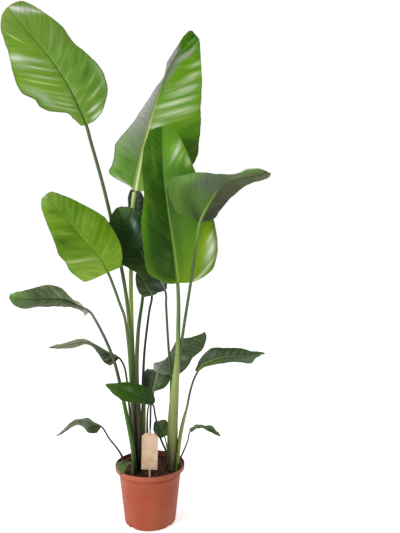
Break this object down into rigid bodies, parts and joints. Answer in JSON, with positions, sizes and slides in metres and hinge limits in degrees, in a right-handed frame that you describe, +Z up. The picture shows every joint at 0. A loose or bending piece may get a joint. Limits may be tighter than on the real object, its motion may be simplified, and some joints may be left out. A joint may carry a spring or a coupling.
{
  "type": "potted white bird of paradise plant",
  "caption": "Tall potted white bird of paradise: long-stalked paddle leaves fanning out of dark soil in a round tapered nursery pot, with a blank kraft tag on a stick.",
  "frame": {"origin": "on the pot's axis at floor level, the middle of the flat boss under the pot", "axes": "+Z up, +X to the right as the plant is seen from its front, +Y to the back"},
  "size_m": [0.868, 0.3307, 1.7684],
  "materials": {
    "pot": "satin",
    "soil": "matte",
    "tag": "matte",
    "tag_stick": "matte",
    "leaf_bright": "satin",
    "leaf_dark": "satin",
    "leaf_underside": "matte"
  },
  "bodies": {
    "root": {"pot": "pot", "soil": "soil", "tag": "tag", "tag_stick": "tag_stick", "leaf_top_left": "leaf_bright", "leaf_top_centre": "leaf_bright", "leaf_mid_left": "leaf_bright", "leaf_centre_front": "leaf_bright", "leaf_right_underside": "leaf_underside", "leaf_centre_back": "leaf_dark", "leaf_far_back": "leaf_dark", "leaf_low_back": "leaf_dark", "leaf_left_drooping": "leaf_dark", "leaf_left_twisted": "leaf_dark", "leaf_small_left": "leaf_dark", "leaf_small_green": "leaf_dark", "leaf_small_right": "leaf_dark", "leaf_right_reaching": "leaf_dark", "leaf_right_raised": "leaf_dark", "leaf_half_grey": "leaf_dark", "leaf_round_low": "leaf_dark", "leaf_over_rim": "leaf_dark"}
  },
  "joints": []
}
